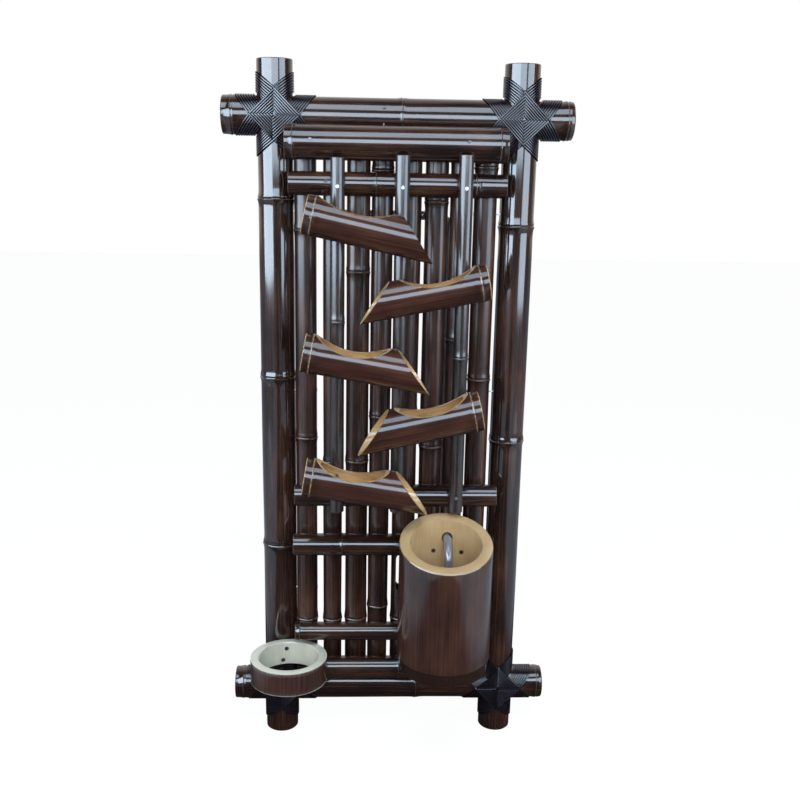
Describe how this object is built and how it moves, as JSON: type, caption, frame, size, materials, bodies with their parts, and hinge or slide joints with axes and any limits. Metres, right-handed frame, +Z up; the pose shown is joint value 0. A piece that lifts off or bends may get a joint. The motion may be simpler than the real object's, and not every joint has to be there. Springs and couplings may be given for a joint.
{
  "type": "bamboo cascade fountain",
  "caption": "Wall-hung bamboo fountain: a lashed frame with a slatted screen, troughs that pour one into the next, a tank with a pump, and a ring for a plant pot.",
  "frame": {"origin": "midway between the two hang holes, on the back of the stiles", "axes": "+X to the right as seen from the front, +Y towards the wall, +Z up"},
  "size_m": [0.526, 0.2394, 1.1],
  "materials": {
    "frame_bamboo": "glossy dark stain",
    "rattan": "satin dark stain",
    "dowel_wood": "plain",
    "slat_bamboo": "glossy dark stain",
    "rail_bamboo": "glossy dark stain",
    "cane_bamboo": "glossy dark stain",
    "trough_bamboo": "glossy dark stain, cut edges pale",
    "tank_bamboo": "glossy dark stain, bore pale",
    "hose_plastic": "clear grey",
    "steel": "zinc",
    "black_plastic": "matte",
    "dial_plastic": "matte",
    "stator_steel": "rolled",
    "copper_wire": "varnished",
    "rotor_plastic": "satin",
    "shaft_ceramic": "polished",
    "rubber": "matte"
  },
  "bodies": {
    "fountain": {"stile_left": "frame_bamboo", "stile_right": "frame_bamboo", "top_rail": "frame_bamboo", "bottom_rail": "frame_bamboo", "lashing_top_left": "rattan", "lashing_top_right": "rattan", "lashing_bottom_left": "rattan", "lashing_bottom_right": "rattan", "corner_pegs": "dowel_wood", "slat_1": "slat_bamboo", "slat_2": "slat_bamboo", "slat_3": "slat_bamboo", "slat_4": "slat_bamboo", "slat_5": "slat_bamboo", "slat_6": "slat_bamboo", "slat_7": "slat_bamboo", "slat_8": "slat_bamboo", "valance_rail": "rail_bamboo", "upper_cross_rail": "rail_bamboo", "middle_cross_rail": "rail_bamboo", "lower_cross_rail": "rail_bamboo", "tank_cross_rail": "rail_bamboo", "foot_rail": "rail_bamboo", "cane_left": "cane_bamboo", "cane_middle": "cane_bamboo", "cane_right": "cane_bamboo", "trough_1": "trough_bamboo", "trough_2": "trough_bamboo", "trough_3": "trough_bamboo", "trough_4": "trough_bamboo", "trough_5": "trough_bamboo", "water_tank": "tank_bamboo", "pot_ring": "tank_bamboo", "supply_hose": "hose_plastic", "hose_staples": "steel", "screen_nails": "steel", "side_nails": "steel", "front_nails": "steel", "cane_nails": "steel", "trough_screws": "steel", "tank_screws": "steel", "ring_screws": "steel", "pump_housing": "black_plastic", "pump_base": "black_plastic", "pump_stator": "stator_steel", "pump_coil": "copper_wire", "impeller_shaft": "shaft_ceramic", "shaft_bushes": "rubber", "volute_cover": "black_plastic", "outlet_nozzle": "black_plastic", "suction_cups": "rubber", "cord_gland": "black_plastic"},
    "rotor": {"impeller": "rotor_plastic"},
    "dial": {"flow_dial": "dial_plastic"},
    "strainer": {"strainer_cover": "black_plastic"}
  },
  "joints": [
    {"name": "impeller_spin", "type": "hinge", "parent": "fountain", "child": "rotor", "pos_m": [0.0855, -0.1455, -0.709], "axis": [0, 1, 0], "continuous": true},
    {"name": "flow_dial_turn", "type": "hinge", "parent": "fountain", "child": "dial", "pos_m": [0.0855, -0.1455, -0.709], "axis": [0, 1, 0], "range_deg": [0, 90]},
    {"name": "strainer_slide", "type": "slide", "parent": "fountain", "child": "strainer", "axis": [0, -1, 0], "range_m": [0, 0.012]}
  ]
}
